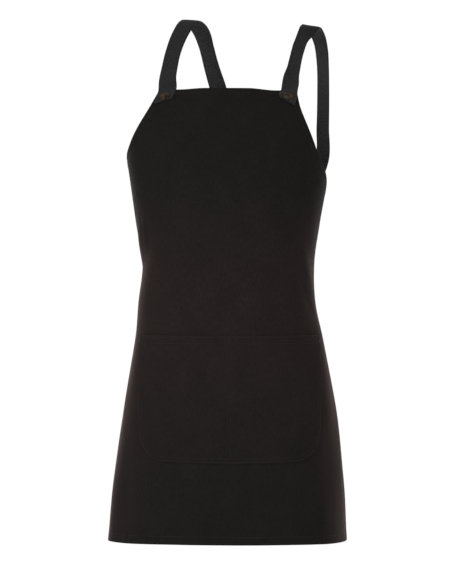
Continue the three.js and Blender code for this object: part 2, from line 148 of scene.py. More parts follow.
def round_the_body(around, at):
    """Places on the body's oval at a level, each a distance round it from the front, left negative."""
    turn = np.linspace(0, math.pi, OVAL_POINTS)
    places = np.zeros((len(around), 2))
    deepest_front, deepest_back = -FRONT_DEPTH * level("front", at), BACK_DEPTH * level("back", at)
    for side, name in ((-1, "left"), (1, "right")):
        deep = np.where(turn < math.pi / 2, deepest_front, deepest_back)
        x = side * SIDE_SPREAD * level(name, at) * np.abs(np.sin(turn)) ** (2 / SQUARENESS)
        y = deep * np.abs(np.cos(turn)) ** (2 / SQUARENESS)
        along = np.concatenate([[0], np.cumsum(np.hypot(np.diff(x), np.diff(y)))])
        here = np.sign(around + 1e-9) == side
        places[here, 0] = np.interp(np.abs(around[here]), along, x)
        places[here, 1] = np.interp(np.abs(around[here]), along, y)
    return places


def fold_height(across, down, folds):
    """How far folds push the cloth outwards."""
    height = np.zeros_like(across)
    for from_x, from_y, to_x, to_y, width, depth in folds:
        run_x, run_y = (to_x - from_x) * PANEL_WIDTH / 2, (to_y - from_y) * PANEL_DROP
        x, y = across - from_x * PANEL_WIDTH / 2, down - from_y * PANEL_DROP
        share = (x * run_x + y * run_y) / (run_x**2 + run_y**2)
        aside = (x * run_y - y * run_x) / math.hypot(run_x, run_y) / (width * CORNER_CURL)
        height += depth * CORNER_CURL * np.clip(1 - (2 * share - 1) ** 2, 0, None) * np.exp(-(aside**2))
    return height


def ripples(across, down):
    """Soft unevenness of cloth that has been worn: upright swells that grow towards the hem."""
    chance = np.random.default_rng(RIPPLE_SEED)
    height = np.zeros_like(across)
    for length, tall in SWELLS:
        slant, phase, wander = chance.uniform((-0.35, 0, WANDERS[0]), (0.35, 6.3, WANDERS[1]))
        bend = wander * np.sin(down / 130 + phase)
        height += tall * np.sin(6.283 * (across + slant * down) / length + phase + bend)
    fine = chance.uniform(0, 6.3, 6)
    height += FINE_RIPPLE * np.sin(across / 17 + fine[0] + np.sin(down / 31 + fine[1]))
    height += FINE_RIPPLE * np.sin(down / 19 + fine[2] + np.sin(across / 37 + fine[3]))
    return height * (0.35 + 0.65 * (down / PANEL_DROP) ** 1.5)


def smooth_step(low, high, value):
    """0 up to low and 1 from high on, with a soft rise between."""
    t = np.clip((value - low) / (high - low), 0, 1)
    return t * t * (3 - 2 * t)


def hem_height(distance, hem):
    """A turned edge seen from outside: a slight ridge, rounded at the fold and drawn in by the stitches."""
    stitched, turned = hem
    ridge = HEM_RIDGE * (1 - smooth_step(turned - HEM_EASE, turned + HEM_EASE, distance))
    groove = STITCH_GROOVE[0] * np.exp(-(((distance - stitched) / STITCH_GROOVE[1]) ** 2))
    fold = HEM_FOLD[0] * np.clip(1 - distance / HEM_FOLD[1], 0, 1) ** 2
    return ridge - groove - fold


def turned_in(distance, hem):
    """1 where an edge is turned in and 0 on the single cloth."""
    return 1 - smooth_step(hem[1] - 0.5, hem[1] + 0.5, distance)


def unit(vectors):
    """Directions of length 1."""
    return vectors / np.linalg.norm(vectors, axis=-1, keepdims=True)


def grid_normals(face):
    """Outward normals of a face given as rows of points, left to right and top to bottom."""
    return unit(np.cross(np.gradient(face, axis=0), np.gradient(face, axis=1)))


def graded(near, far, length, step):
    """Distances from 0 to length, close at both ends as near and far say, and even between them."""
    even = np.linspace(near[-1], length - far[-1], round((length - near[-1] - far[-1]) / step) + 1)
    return np.concatenate([near[:-1], even, length - far[-2::-1]])


def panel_face():
    """Flat places of the panel's grid, its outer face, the normals, and the distances to its edges."""
    down = graded(HEM_STEPS, LOW_HEM_STEPS, PANEL_DROP, CLOTH_STEP)
    at = down / PANEL_DROP
    half = half_width(at)
    lean = np.sqrt(1 + np.gradient(half, down) ** 2)[:, None]
    inner = np.linspace(-1, 1, PANEL_COLUMNS + 2)[1:-1] * (half[:, None] - HEM_STEPS[-1] * lean)
    edge = half[:, None] - HEM_STEPS * lean
    across = np.concatenate([-edge, inner, edge[:, ::-1]], axis=1)
    face = np.zeros((*across.shape, 3))
    outwards = smooth_step(CURL_START, CURL_FULL, np.abs(across) / (BIB_WIDTH / 2))
    for j, share in enumerate(at):
        curl = outwards[j] * max(0, 1 - share / CURL_END) ** 2
        middle = level("middle", share) * PANEL_WIDTH / 2
        face[j, :, :2] = round_the_body(across[j] + middle, share)
        face[j, :, 1] += CORNER_CURL * curl
        droop = np.where(across[j] < 0, *CORNER_DROOPS)
        sag = HEM_SAG * smooth_step(SAG_START, 1, share) * smooth_step(*SAG_ACROSS, np.abs(across[j]))
        face[j, :, 2] = -BIB_BELOW_SHOULDER - down[j] - droop * curl - sag
    deep = np.repeat(down[:, None], across.shape[1], axis=1)
    edges = {"side": (half[:, None] - np.abs(across)) / lean, "top": deep, "low": PANEL_DROP - deep}
    normals = grid_normals(face)
    height = fold_height(across, deep, FOLDS + CREASES) + ripples(across, deep)
    for name, hem in HEMS.items():
        height += hem_height(edges[name], hem)
    face += normals * height[:, :, None]
    return across, down, face, grid_normals(face), edges


def closed_cloth(outer, inner, name, flat, wear_and_painted_light, material):
    """Joins an outer and an inner face round a rounded rim into one closed piece of cloth."""
    rows, columns = outer.shape[:2]
    number = np.arange(rows * columns).reshape(rows, columns)
    loop = np.concatenate([number[0, :-1], number[:-1, -1], number[-1, :0:-1], number[:0:-1, 0]])
    j, i = loop // columns, loop % columns
    outwards = unit(outer[j, i] - outer[np.clip(j, 1, rows - 2), np.clip(i, 1, columns - 2)])
    thick = np.linalg.norm(outer[j, i] - inner[j, i], axis=1, keepdims=True)
    rim = (outer[j, i] + inner[j, i]) / 2 + outwards * thick * RIM_BULGE
    points = np.concatenate([outer.reshape(-1, 3), inner.reshape(-1, 3), rim])
    a, b, c, d = (number[:-1, :-1], number[:-1, 1:], number[1:, 1:], number[1:, :-1])
    front = np.stack([a, d, c, b], axis=-1).reshape(-1, 4)
    back = np.stack([a, b, c, d], axis=-1).reshape(-1, 4) + rows * columns
    ring = np.arange(len(loop)) + 2 * rows * columns
    after = np.roll(np.arange(len(loop)), -1)
    upper = np.stack([loop, loop[after], ring[after], ring], axis=1)
    lower = np.stack([ring, ring[after], loop[after] + rows * columns, loop + rows * columns], axis=1)
    faces = np.concatenate([front, back, upper, lower])
    flats = np.concatenate([flat.reshape(-1, 3), flat.reshape(-1, 3), flat[j, i]])
    wears = np.concatenate([wear_and_painted_light.ravel(), INNER_WEAR * wear_and_painted_light.ravel(), wear_and_painted_light[j, i]])
    return make_piece(name, points, faces.tolist(), material, flats, wears)


def make_piece(name, points, faces, material, flat=None, wear_and_painted_light=None):
    """A mesh from points in millimetres. flat is each point's place in the cut cloth, before it was worn."""
    mesh = bpy.data.meshes.new(name)
    mesh.from_pydata((np.asarray(points) / 1000).tolist(), [], faces)
    if flat is not None:
        mesh.attributes.new("flat", "FLOAT_VECTOR", "POINT").data.foreach_set("vector", flat.ravel())
    # Real wear on the cloth; painted shade at the straps' cut ends; wear and painted highlights on the
    # studs.
    if wear_and_painted_light is not None:
        mesh.attributes.new("wear_and_painted_light", "FLOAT", "POINT").data.foreach_set("value", wear_and_painted_light)
    mesh.polygons.foreach_set("use_smooth", [True] * len(mesh.polygons))
    mesh.set_sharp_from_angle(angle=math.radians(50))
    mesh.materials.append(material)
    piece = bpy.data.objects.new(name, mesh)
    bpy.context.scene.collection.objects.link(piece)
    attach(piece, "root")
    return piece


def fill_inputs(tree, node, inputs):
    """Joins a node's inputs to other nodes, or sets them."""
    for key, value in inputs.items():
        if isinstance(value, bpy.types.NodeSocket):
            tree.links.new(value, node.inputs[key])
        else:
            node.inputs[key].default_value = value


def add_node(tree, kind, inputs, **settings):
    """A shader node with its settings made and its inputs joined or set."""
    node = tree.nodes.new(kind)
    for key, value in settings.items():
        setattr(node, key, value)
    fill_inputs(tree, node, inputs)
    return node


def calculate(tree, operation, *values):
    """The output of a math node."""
    return add_node(tree, "ShaderNodeMath", dict(enumerate(values)), operation=operation).outputs[0]


def blend_colours(tree, share, first, second, kind="MIX"):
    """The colour between two others, or their product where kind is MULTIPLY."""
    inputs = {0: share, 6: first, 7: second}
    return add_node(tree, "ShaderNodeMix", inputs, data_type="RGBA", blend_type=kind).outputs[2]


def scale_colour(tree, colour, factor):
    """A colour made lighter or darker."""
    return add_node(tree, "ShaderNodeVectorMath", {0: colour, 3: factor}, operation="SCALE").outputs[0]


def relief(tree, height, strength, distance):
    """A surface's direction with fine relief in it. distance is in metres."""
    inputs = {"Height": height, "Strength": strength, "Distance": distance}
    return add_node(tree, "ShaderNodeBump", inputs).outputs[0]


def new_material(name):
    """A material, its node tree and its shader."""
    material = bpy.data.materials.new(name)
    material.use_nodes = True
    return material, material.node_tree, material.node_tree.nodes["Principled BSDF"]


def streaks(tree, place, wide, long, detail=2.0):
    """Noise drawn out along one thread direction, wide by long in millimetres."""
    shares = {0: place, 1: (1 / wide, 1 / long, 1)}
    scaled = add_node(tree, "ShaderNodeVectorMath", shares, operation="MULTIPLY").outputs[0]
    inputs = {"Vector": scaled, "Scale": 1.0, "Detail": detail}
    return add_node(tree, "ShaderNodeTexNoise", inputs).outputs[0]


def spread_over(tree, value, start, end, low=0.0, high=1.0, kind="LINEAR"):
    """A value that runs from low to high while another runs from start to end."""
    inputs = {0: value, 1: start, 2: end, 3: low, 4: high}
    return add_node(tree, "ShaderNodeMapRange", inputs, interpolation_type=kind).outputs[0]


def read_attribute(tree, name, output="Fac"):
    """One of the values that a mesh carries at its points."""
    return add_node(tree, "ShaderNodeAttribute", {}, attribute_name=name).outputs[output]


CANVAS_DARK = (0.0092, 0.0083, 0.0079, 1)
CANVAS_LIGHT = (0.0178, 0.0156, 0.0148, 1)
CANVAS_PAINTED_LIGHT = (1.58, 1.33, 1.33, 1)  # painted light: how much lighter and browner the belly and pocket are painted, where more light falls
CANVAS_NAP = (0.05, 0.035, 0.029, 1)
CANVAS_SHEEN = (1.0, 0.62, 0.55, 1)
YARN_PITCH = 0.62
WEAVE_RELIEF = 0.22
YARN_RELIEF = 1.6
WARP_YARN = (0.9, 26)  # width and length of its streaks
WEFT_YARN = (30, 0.9)
DYE_CLOUD = (46, 70)
SLUB = (2.4, 9)
SLUB_TONES = (0.8, 1.2)
NAP_CLUMP = (5, 5)
PAINTED_LIGHT_FROM = (120, 400)  # below the bib's top, where the painted light starts and is full
PAINTED_LIGHT_TO = (420, 800)  # and where it starts to fade and ends
FLUFF_FROM = (200, 320)
FLUFF = (0.02, 0.165)  # sheen of the bib and of the skirt
# How far down the panel, and how worn its edges are there.
WORN_EDGE = ((0, 3, 12, 220, 320), (0.3, 0.3, 0.03, 0.03, 0.4))
WORN_WIDTH = 1.1


def canvas_material():
    """Plain-woven cotton: dark yarns with slubs both ways, a brown nap, fluff along worn edges, and painted
    light that makes the belly and pocket lighter and browner.
    """
    material, tree, shader = new_material("brown_black_canvas")
    place, wear_and_painted_light = read_attribute(tree, "flat", "Vector"), read_attribute(tree, "wear_and_painted_light")
    x, y, _ = add_node(tree, "ShaderNodeSeparateXYZ", {0: place}).outputs
    warp = streaks(tree, place, *WARP_YARN)
    weft = streaks(tree, place, *WEFT_YARN)
    cloudy = streaks(tree, place, *DYE_CLOUD, 4.0)
    yarns = calculate(tree, "MULTIPLY_ADD", warp, 0.5, calculate(tree, "MULTIPLY", weft, 0.5))
    uneven = calculate(tree, "MULTIPLY_ADD", cloudy, 0.6, calculate(tree, "MULTIPLY", yarns, 0.9))
    cloth = blend_colours(tree, spread_over(tree, uneven, 0.45, 1.05), CANVAS_DARK, CANVAS_LIGHT)
    slub = spread_over(tree, streaks(tree, place, *SLUB), 0.25, 0.75, *SLUB_TONES)
    cloth = scale_colour(tree, cloth, slub)
    # Painted light: the band across the belly and pocket is painted lighter and browner, where more light
    # falls.
    below = spread_over(tree, y, *PAINTED_LIGHT_FROM, kind="SMOOTHSTEP")
    above = spread_over(tree, y, *PAINTED_LIGHT_TO[::-1], kind="SMOOTHSTEP")
    painted_light_band = calculate(tree, "MULTIPLY", below, above)
    cloth = blend_colours(tree, painted_light_band, cloth, CANVAS_PAINTED_LIGHT, "MULTIPLY")
    lighter_share = calculate(tree, "MULTIPLY", wear_and_painted_light, streaks(tree, place, *NAP_CLUMP, 5.0))
    over = calculate(tree, "SINE", calculate(tree, "MULTIPLY", x, math.pi / YARN_PITCH))
    under = calculate(tree, "SINE", calculate(tree, "MULTIPLY", y, math.pi / YARN_PITCH))
    weave = calculate(tree, "MULTIPLY", over, under)
    raised = calculate(tree, "MULTIPLY", yarns, YARN_RELIEF)
    raised = calculate(tree, "MULTIPLY_ADD", weave, WEAVE_RELIEF, raised)
    fill_inputs(tree, shader, {
        "Base Color": blend_colours(tree, lighter_share, cloth, CANVAS_NAP),
        "Roughness": spread_over(tree, cloudy, 0, 1, 0.82, 0.95),
        "Normal": relief(tree, raised, 0.55, 0.0004),
        "Specular IOR Level": 0.12,
        "Sheen Weight": spread_over(tree, y, *FLUFF_FROM, *FLUFF),
        "Sheen Roughness": 0.4,
        "Sheen Tint": CANVAS_SHEEN,
    })
    return material


canvas = canvas_material()
across, down, face, face_normals, edges = panel_face()
to_edge = np.minimum(np.minimum(edges["side"], edges["top"]), edges["low"])
turnings = [turned_in(edges[name], hem) for name, hem in HEMS.items()]
thickness = CANVAS_THICKNESS + HEM_EXTRA * np.max(turnings, axis=0)
panel_flat = np.stack([across, edges["top"], np.zeros_like(across)], axis=2)
panel_back = face - face_normals * thickness[:, :, None]
panel_wear = np.interp(down, *WORN_EDGE)[:, None] * np.exp(-to_edge / WORN_WIDTH)
panel = closed_cloth(face, panel_back, "canvas_panel", panel_flat, panel_wear, canvas)
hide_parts("apron_body")
cut_area = np.trapz(2 * half_width(down / PANEL_DROP), down) / 1e6


def lay(along, deep, lift=0.0):
    """Places on the panel's outer face, along and deep from the bib's top middle, and the normals there."""
    row = np.interp(deep, down, np.arange(len(down)))
    upper = np.minimum(row.astype(int), len(down) - 2)
    places, normals = np.zeros((len(row), 3)), np.zeros((len(row), 3))
    for k, (x, j, share) in enumerate(zip(along, upper, row - upper)):
        for line, weight in ((j, 1 - share), (j + 1, share)):
            for axis in range(3):
                places[k, axis] += weight * np.interp(x, across[line], face[line, :, axis])
                normals[k, axis] += weight * np.interp(x, across[line], face_normals[line, :, axis])
    normals = unit(normals)
    return places + normals * np.reshape(lift, (-1, 1)), normals


# Panel stitching: one row of lockstitch in dark brown polyester thread holds each turned edge. It
# runs a presser foot's width from the fold, and higher up on the deeper hem. It shows on both faces.
STITCH_PITCH = 3.4
STITCH_THREAD = 0.27  # radius
THREAD_SIDES = 5
# Lighter than the canvas, partly as a painted highlight for glints on the thread's ridges.
THREAD_TONE_AND_GLINT = (0.034, 0.028, 0.0255, 1)
THREAD_SHADE = 0.6  # how dark its darkest flecks are beside it
# Along one stitch, as shares of the pitch, and how high above the cloth. Both ends dive in.
STITCH_SHARES = np.array([0.07, 0.24, 0.76, 0.93])
STITCH_LIFTS = np.array([-0.3, 0.2, 0.2, -0.3])
LONG_ROW = 260  # places along a seam down a side, and along one across
SHORT_ROW = 160


def thread_material():
    """Twisted polyester thread, glossier than the canvas and painted a little lighter than it: partly its
    own colour, partly a painted highlight on its ridges.
    """
    material, tree, shader = new_material("sewing_thread")
    place = add_node(tree, "ShaderNodeTexCoord", {}).outputs["Object"]
    inputs = {"Vector": place, "Scale": 900.0, "Detail": 1.0}
    fleck = add_node(tree, "ShaderNodeTexNoise", inputs).outputs[0]
    darker = tuple(THREAD_SHADE * c for c in THREAD_TONE_AND_GLINT[:3]) + (1,)
    fill_inputs(tree, shader, {
        "Base Color": blend_colours(tree, fleck, darker, THREAD_TONE_AND_GLINT),
        "Normal": relief(tree, fleck, 0.4, 0.0001),
        "Roughness": 0.55,
        "Specular IOR Level": 0.3,
    })
    return material


thread = thread_material()


def distances(places):
    """How far along a line each of its places is."""
    return np.concatenate([[0], np.cumsum(np.linalg.norm(np.diff(places, axis=0), axis=1))])


def tube_faces(rings, sides):
    """Faces of a closed tube whose points go round ring by ring."""
    number = np.arange(rings * sides).reshape(rings, sides)
    after = np.roll(number, -1, axis=1)
    skin = np.stack([number[:-1], after[:-1], after[1:], number[1:]], axis=-1).reshape(-1, 4)
    return skin.tolist() + [number[0][::-1].tolist(), number[-1].tolist()]


def stitch_row(places, normals, pitch=STITCH_PITCH):
    """Points and faces of a row of stitches along a line on the cloth, each stitch a short closed tube."""
    run = distances(places)
    count = max(1, round(run[-1] / pitch))
    stops = (np.arange(count)[:, None] + STITCH_SHARES) * (run[-1] / count)
    rings, sides = len(STITCH_SHARES), THREAD_SIDES
    middle = np.stack([np.interp(stops, run, row) for row in places.T], axis=2)
    out = np.stack([np.interp(stops, run, row) for row in normals.T], axis=2)
    aside = unit(np.cross(middle[:, -1:] - middle[:, :1], out))
    turn = np.arange(sides) * 2 * math.pi / sides
    round_about = np.cos(turn)[:, None] * aside[:, :, None] + np.sin(turn)[:, None] * out[:, :, None]
    points = (middle + out * STITCH_LIFTS[None, :, None])[:, :, None] + STITCH_THREAD * round_about
    one = tube_faces(rings, sides)
    faces = [[rings * sides * stitch + v for v in corners] for stitch in range(count) for corners in one]
    return points.reshape(-1, 3), faces


def make_stitching(name, rows):
    """One piece from several rows of stitches."""
    points, faces, used = [], [], 0
    for row_points, row_faces in rows:
        points.append(row_points)
        faces += [[used + v for v in corners] for corners in row_faces]
        used += len(row_points)
    piece = make_piece(name, np.concatenate(points), faces, thread)
    return piece


def hem_lines():
    """Flat places of the four stitched lines round the panel, top, hem and both sides."""
    top, low = SIDE_HEM[0], PANEL_DROP - LOW_HEM[0]
    spare = np.linspace(-1, 1, SHORT_ROW)
    yield spare * (half_width(top / PANEL_DROP) - SIDE_HEM[0]), np.full(SHORT_ROW, top)
    yield spare * (half_width(1) - SIDE_HEM[0]), np.full(SHORT_ROW, low)
    deep = np.linspace(top, low, LONG_ROW)
    half = half_width(deep / PANEL_DROP)
    inset = SIDE_HEM[0] * np.sqrt(1 + np.gradient(half, deep) ** 2)
    for side in (-1, 1):
        yield side * (half - inset), deep


panel_rows = []
for along, deep in hem_lines():
    places, normals = lay(along, deep)
    panel_rows.append(stitch_row(places, normals))
    panel_rows.append(stitch_row(places - normals * (CANVAS_THICKNESS + HEM_EXTRA), -normals))
hem_stitching = make_stitching("panel_stitching", panel_rows)


# Pocket: a canvas patch with rounded lower corners, its edges turned under and sewn to the skirt
# with two rows of stitches. The mouth has a deeper hem, and two rows down the middle make it a pair.
POCKET_WIDTH = 388
POCKET_HEIGHT = 226
POCKET_TAPER = 40
POCKET_CORNER = 52  # radius
POCKET_BOW = 8  # how much lower its middle reaches than its sides
POCKET_BELOW_BIB = 467
POCKET_HEM_EXTRA = 0.4
POCKET_RIDGE = 0.35
MOUTH_DEEPER = 8  # how much further the mouth's hem is turned in
POCKET_GROOVE = (0.4, 0.7)  # depth and half width
POCKET_FOLD = (0.6, 1.2)
POCKET_SWELL = 0.5
SWELL_FROM = 8  # inwards from its edges, where the swell starts and is full
SWELL_REACH = 60
POCKET_LIFT = 2  # panel's face to the pocket's outer face
POCKET_ROWS = (2.5, 8.5)  # edge to its two rows of stitches
MOUTH_ROWS = (2.8, 14)
MIDDLE_ROWS = 2.8  # middle line to each of its two rows
ROW_INSET = 1.5  # edge to where a row starts
MOUTH_GAPE = 1.4
GAPE_REACH = 70  # below the mouth, where the gape ends
STRAIGHT_ROWS = 36
CORNER_ROWS = 26
HALF_COLUMNS = 38
CUT_FROM = 900  # its flat places start this far from the panel's, so their yarns differ
POCKET_WEAR = 0.3
POCKET_EDGE_STEPS = np.array([0, 0.5, 1.1, 1.8, 2.5, 3.2, 4.2, 6, 7.6, 8.5, 9.4, 10.6, 13, 17])
MOUTH_STEPS = np.array([0, 0.5, 1.2, 2, 2.8, 3.6, 5, 8, 11.5, 13.2, 14, 14.8, 16.2, 17.6, 19, 22])
MIDDLE_STEPS = np.array([-6.5, -4.6, -3.6, -2.8, -2, -1, 0, 1, 2, 2.8, 3.6, 4.6, 6.5])


def pocket_half(fall):
    """Half of the pocket's width on its straight sides, some way below the mouth."""
    return (POCKET_WIDTH - POCKET_TAPER * fall / POCKET_HEIGHT) / 2


def pocket_grid():
    """Flat places of the pocket's grid, sideways and below the mouth, before its lower edge is bowed."""
    straight = POCKET_HEIGHT - POCKET_CORNER
    upright = np.concatenate([MOUTH_STEPS[:-1], np.linspace(MOUTH_STEPS[-1], straight, STRAIGHT_ROWS)])
    turn = np.linspace(0, math.pi / 2, CORNER_ROWS + 1)[1:]
    fall = np.concatenate([upright, straight + POCKET_CORNER * np.sin(turn)])
    cut_in = np.concatenate([np.zeros(len(upright)), POCKET_CORNER * (1 - np.cos(turn))])
    half = (pocket_half(fall) - cut_in)[:, None]
    share = np.linspace(0, 1, HALF_COLUMNS + 2)[1:-1]
    inner = MIDDLE_STEPS[-1] + share * (half - POCKET_EDGE_STEPS[-1] - MIDDLE_STEPS[-1])
    edge = half - POCKET_EDGE_STEPS
    middle = np.repeat(MIDDLE_STEPS[None], len(fall), axis=0)
    sideways = np.concatenate([-edge, -inner[:, ::-1], middle, inner, edge[:, ::-1]], axis=1)
    return sideways, np.repeat(fall[:, None], sideways.shape[1], axis=1)


def pocket_inset(sideways, fall):
    """Distance from a place on the pocket to its side or lower edge."""
    x = np.abs(sideways) + POCKET_TAPER * fall / POCKET_HEIGHT / 2 - (POCKET_WIDTH / 2 - POCKET_CORNER)
    y = fall - (POCKET_HEIGHT - POCKET_CORNER)
    outside = np.hypot(np.maximum(x, 0), np.maximum(y, 0)) + np.minimum(np.maximum(x, y), 0)
    return POCKET_CORNER - outside


def on_pocket(sideways, fall, lift):
    """Places above the panel under flat places on the pocket, with its lower edge bowed."""
    half = np.maximum(pocket_half(fall), 1)
    bow = POCKET_BOW * (fall / POCKET_HEIGHT) * np.sqrt(np.clip(1 - (sideways / half) ** 2, 0, 1))
    deep = POCKET_BELOW_BIB + fall + bow - POCKET_BOW
    places, normals = lay(sideways.ravel(), deep.ravel(), np.ravel(lift))
    return places.reshape(*sideways.shape, 3), normals.reshape(*sideways.shape, 3)


def pocket_height(sideways, fall):
    """How far the pocket's face stands above its plain level: turned edges, grooves and the gape."""
    inset = pocket_inset(sideways, fall)
    turned = SIDE_HEM[1]
    ridge = POCKET_RIDGE * (1 - smooth_step(turned - 1, turned + 2, np.minimum(inset, fall - MOUTH_DEEPER)))
    depth, wide = POCKET_GROOVE
    groove = sum(np.exp(-(((inset - row) / wide) ** 2)) for row in POCKET_ROWS)
    groove += sum(np.exp(-(((fall - row) / wide) ** 2)) for row in MOUTH_ROWS)
    groove += np.exp(-(((np.abs(sideways) - MIDDLE_ROWS) / wide) ** 2))
    fold = POCKET_FOLD[0] * np.clip(1 - np.minimum(inset, fall) / POCKET_FOLD[1], 0, 1) ** 2
    loose = np.sin(math.pi * np.clip(np.abs(sideways) / (POCKET_WIDTH / 2), 0, 1)) ** 2
    gape = MOUTH_GAPE * loose * np.clip(1 - fall / GAPE_REACH, 0, 1) ** 2
    swell = POCKET_SWELL * loose * np.clip(fall / SWELL_REACH, 0, 1)
    swell *= smooth_step(SWELL_FROM, SWELL_REACH, inset)
    return ridge - depth * np.clip(groove, 0, 1) - fold + gape + swell


sideways, fall = pocket_grid()
pocket_face, pocket_normals = on_pocket(sideways, fall, POCKET_LIFT + pocket_height(sideways, fall))
inset = pocket_inset(sideways, fall)
pocket_turning = turned_in(np.minimum(inset, fall - MOUTH_DEEPER), SIDE_HEM)
pocket_thickness = CANVAS_THICKNESS + POCKET_HEM_EXTRA * pocket_turning
pocket_edge = np.clip(np.minimum(inset, fall), 0, None)
pocket = closed_cloth(
    pocket_face,
    pocket_face - pocket_normals * pocket_thickness[:, :, None],
    "canvas_pocket",
    np.stack([sideways + CUT_FROM, fall + POCKET_BELOW_BIB, np.zeros_like(fall)], axis=2),
    POCKET_WEAR * np.exp(-pocket_edge / WORN_WIDTH),
    canvas,
)
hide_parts("pocket_panel")


def pocket_line(inset):
    """Flat places of a line down one side of the pocket, round its lower corners and up the other side."""
    turn = np.linspace(0, math.pi / 2, 24)
    radius = POCKET_CORNER - inset
    straight = POCKET_HEIGHT - POCKET_CORNER
    upright = np.linspace(ROW_INSET, straight, 40)[:-1]
    side_fall = np.concatenate([upright, straight + radius * np.sin(turn)])
    cut_in = np.concatenate([np.full_like(upright, inset), POCKET_CORNER - radius * np.cos(turn)])
    side_x = pocket_half(side_fall) - cut_in
    base = np.linspace(side_x[-1], -side_x[-1], 60)[1:-1]
    x = np.concatenate([side_x, base, -side_x[::-1]])
    return x, np.concatenate([side_fall, np.full_like(base, side_fall[-1]), side_fall[::-1]])


def pocket_rows():
    """All the rows of stitches that hold the pocket."""
    for inset in POCKET_ROWS:
        yield pocket_line(inset)
    for row in MOUTH_ROWS:
        spare = np.linspace(-1, 1, 90) * (pocket_half(row) - ROW_INSET)
        yield spare, np.full_like(spare, row)
    for side in (-1, 1):
        fall = np.linspace(ROW_INSET, POCKET_HEIGHT - 2, 60)
        yield np.full_like(fall, side * MIDDLE_ROWS), fall


pocket_seams = []
for x, y in pocket_rows():
    places, normals = on_pocket(x, y, POCKET_LIFT + pocket_height(x, y))
    pocket_seams.append(stitch_row(places, normals))
pocket_stitching = make_stitching("pocket_stitching", pocket_seams)

# Bartacks: short dense blocks of zigzag thread that lock the pocket where hands pull at it, at both
# ends of the mouth and at the top of the middle seam.
BARTACK_LENGTH = 10
BARTACK_WIDTH = 2.6
BARTACK_PASSES = 17
BARTACK_LIFT = 0.1  # over the other stitches
BARTACK_INSET = 5.2  # from the mouth's ends
BARTACK_BELOW = 1.6  # the mouth


def bartack(x):
    """A block of stitches that lie side by side across a short upright line."""
    for fall in np.linspace(BARTACK_BELOW, BARTACK_BELOW + BARTACK_LENGTH, BARTACK_PASSES):
        y = np.full(3, fall)
        reach = x + np.linspace(-0.5, 0.5, 3) * BARTACK_WIDTH
        places, normals = on_pocket(reach, y, POCKET_LIFT + BARTACK_LIFT + pocket_height(reach, y))
        yield stitch_row(places, normals, BARTACK_WIDTH)


mouth_end = pocket_half(0) - BARTACK_INSET
tacks = [row for x in (-mouth_end, 0, mouth_end) for row in bartack(x)]
bartacks = make_stitching("pocket_bartacks", tacks)


# Straps: flat charcoal cotton webbing with a fine rib. Each runs from a front stud over the shoulder,
# crosses the other behind and ends at the panel's far back corner, the right one outermost.
GAP = 0.3
FACET_EASE = 0.5  # room for the flat faces that the solid panel is made of
STRAP_WIDTH = 34.5
STRAP_THICKNESS = 1.8
STRAP_SPREAD = 222
STRAP_REACH = 120  # middle plane to the back
STRAP_TAIL = 9  # stud to the end that hangs below it
END_SLANT = 22
STUD_FROM_TOP = 15.5
FRONT_STUD_INSET = 20
BACK_STUD_INSET = 22
FRONT_LEANS = {-1: 6, 1: 2}  # degrees, for the left and right strap
BACK_LEAN = 44
STRAP_LIFT = GAP + FACET_EASE + STRAP_THICKNESS  # panel's face to the strap's outer face

# From the front end to the back end: across, deep and down as shares of the spread, the reach and the
# bib's drop, then the way the outer face looks, sideways and upward, and how many straps it lies over.
ROUTES = {
    "left": [
        (-0.537, -0.346, 0.842, -24, 42, 0),
        (-0.526, -0.229, 0.678, -28, 49, 0),
        (-0.497, -0.122, 0.424, -25, 48, 0),
        (-0.441, 0.036, 0.14, -12, 52, 0),
        (-0.368, 0.289, -0.073, 10, 80, 0),
        (-0.289, 0.569, 0.063, 167, 46, 0),
        (-0.25, 0.732, 0.271, 150, 41, 0),
        (-0.203, 0.866, 0.597, 152, 16, 0),
        (-0.146, 0.962, 0.939, 163, 17, 0),
        (-0.049, 1.016, 1.59, 167, 4, 0),
        (0.07, 1, 2.3, 170, -4, 0),
        (0.19, 0.89, 2.87, 172, -12, 0),
        (0.275, 0.755, 3.25, 165, -12, 0),
    ],
    "right": [
        (0.501, -0.38, 0.891, 33, 30, 0),
        (0.519, -0.29, 0.726, 51, 9, 0),
        (0.564, -0.225, 0.385, 57, 11, 0),
        (0.622, -0.146, 0.134, 70, 36, 0),
        (0.667, 0.057, 0.04, 63, 81, 0),
        (0.712, 0.265, 0.132, 138, 57, 0),
        (0.745, 0.391, 0.324, 133, 27, 0),
        (0.759, 0.528, 0.606, 129, 18, 0),
        (0.761, 0.628, 0.948, 131, 7, 0),
        (0.756, 0.708, 1.502, 134, 1, 0),
        (0.744, 0.745, 2.017, 139, 2, 0),
        (0.55, 0.87, 2.5, 157, -4, 2),
        (0.2, 0.905, 2.85, 173, -12, 2.5),
        (-0.14, 0.8, 3.15, 188, -12, 1),
        (-0.32, 0.715, 3.34, 200, -8, 0),
    ],
}
END_STEPS = np.array([0, 0.25, 0.7, 1.3, 2, 3, 4.5])
STRAP_STEP = 2
ROUTE_POINTS = 4000
# Places across half a strap, as shares of its half width.
SECTION = (0, 0.25, 0.5, 0.75, 0.86, 0.9, 0.95, 0.985, 1)
# How thick the webbing is there: flat, thin beside the bound edge, and plump in it.
SECTION_BEAD = ((0, 0.84, 0.88, 0.94, 0.98, 1), (0.94, 0.94, 0.86, 1, 0.8, 0.4))
CUT_CORNER = 3  # radius of the corners of its cut ends
CUT_THIN = ((0, 0.7), (0.75, 1))  # from a cut end inwards, and how thick there
TOP_CUP = 0.8  # how far both edges turn down where it lies on the shoulder
CUP_SLOPES = (0.5, 0.9)  # how far up the strap faces where the cup starts and is full
